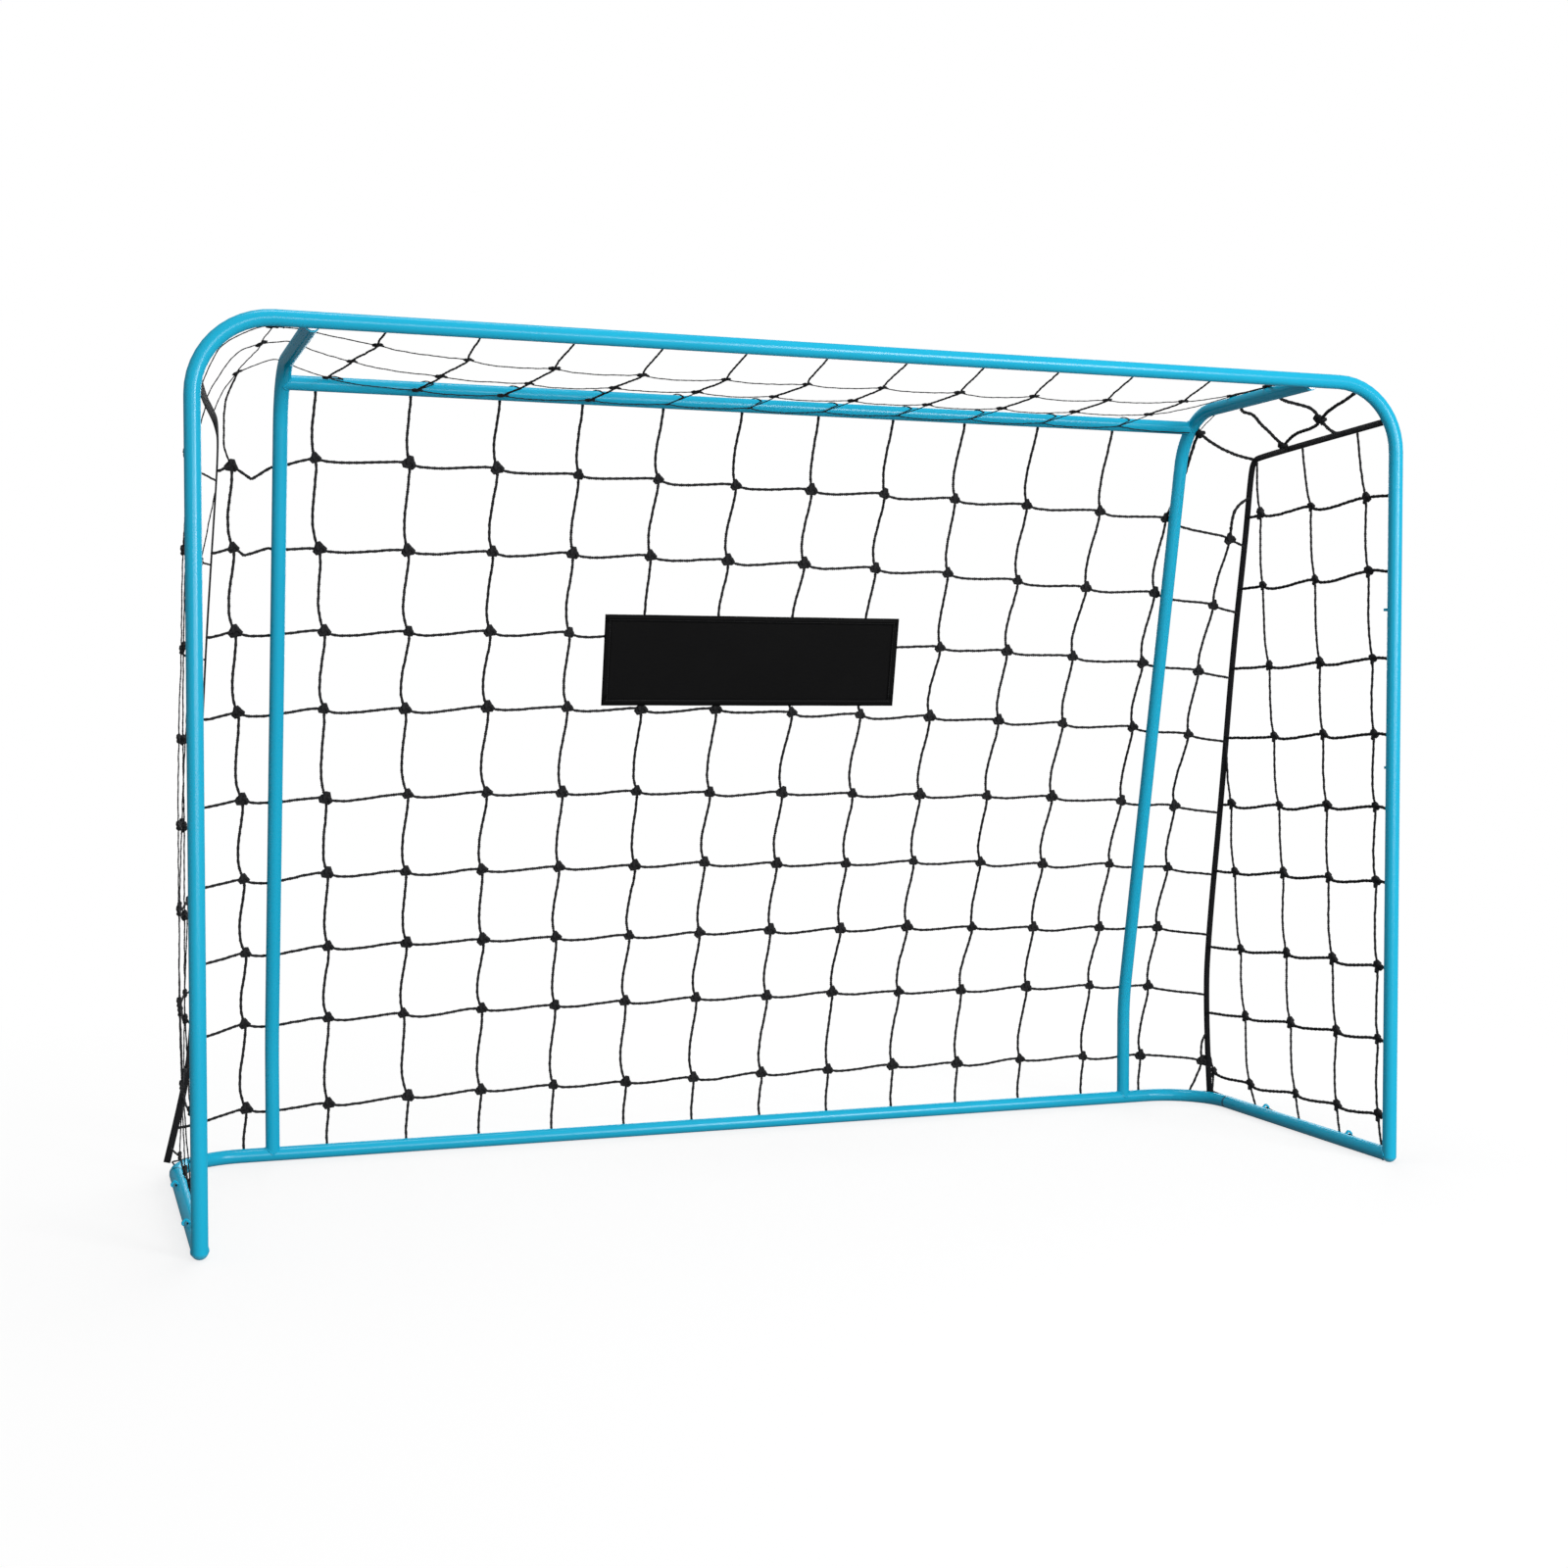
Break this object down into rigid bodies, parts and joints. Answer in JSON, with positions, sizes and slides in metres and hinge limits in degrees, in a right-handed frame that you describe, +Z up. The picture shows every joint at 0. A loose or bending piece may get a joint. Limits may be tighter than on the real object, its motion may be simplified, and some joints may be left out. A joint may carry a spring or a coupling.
{
  "type": "sports goal",
  "caption": "Portable tubular steel goal with bent corners, leaning stays, knotted net, taped seams and a plain panel tied to the back net.",
  "frame": {"origin": "on the ground, under the middle of the object: half way between the posts and half way from the front of the goal to its back", "axes": "+X to the right along the goal line, seen from the field; +Y from the goal mouth to the back of the net; +Z up"},
  "size_m": [1.8088, 0.6068, 1.205],
  "materials": {
    "blue_paint": "gloss powder coat on thin steel tube",
    "hook_paint": "gloss powder coat on flat steel",
    "foot_plastic": "satin moulded plastic",
    "plug_steel": "plain steel",
    "screw_steel": "zinc plated",
    "net_cord": "twisted fibre cord",
    "edge_tape": "flat woven tape",
    "banner_cloth": "coated woven cloth"
  },
  "bodies": {
    "root": {"front_frame_tube": "blue_paint", "foot_caps": "foot_plastic", "side_ground_tube_left": "blue_paint", "side_ground_tube_right": "blue_paint", "rear_ground_tube": "blue_paint", "stay_left": "blue_paint", "stay_right": "blue_paint", "stay_plugs": "plug_steel", "stay_screws": "screw_steel", "rear_top_bar": "blue_paint", "back_net": "net_cord", "roof_net": "net_cord", "side_net_left": "net_cord", "side_net_right": "net_cord", "edge_tape_left": "edge_tape", "edge_tape_right": "edge_tape", "banner": "banner_cloth", "crossbar_net_hooks": "hook_paint", "rear_rail_net_hooks": "hook_paint", "post_net_hooks_left": "hook_paint", "post_net_hooks_right": "hook_paint", "side_tube_net_hooks_left": "hook_paint", "side_tube_net_hooks_right": "hook_paint"}
  },
  "joints": []
}
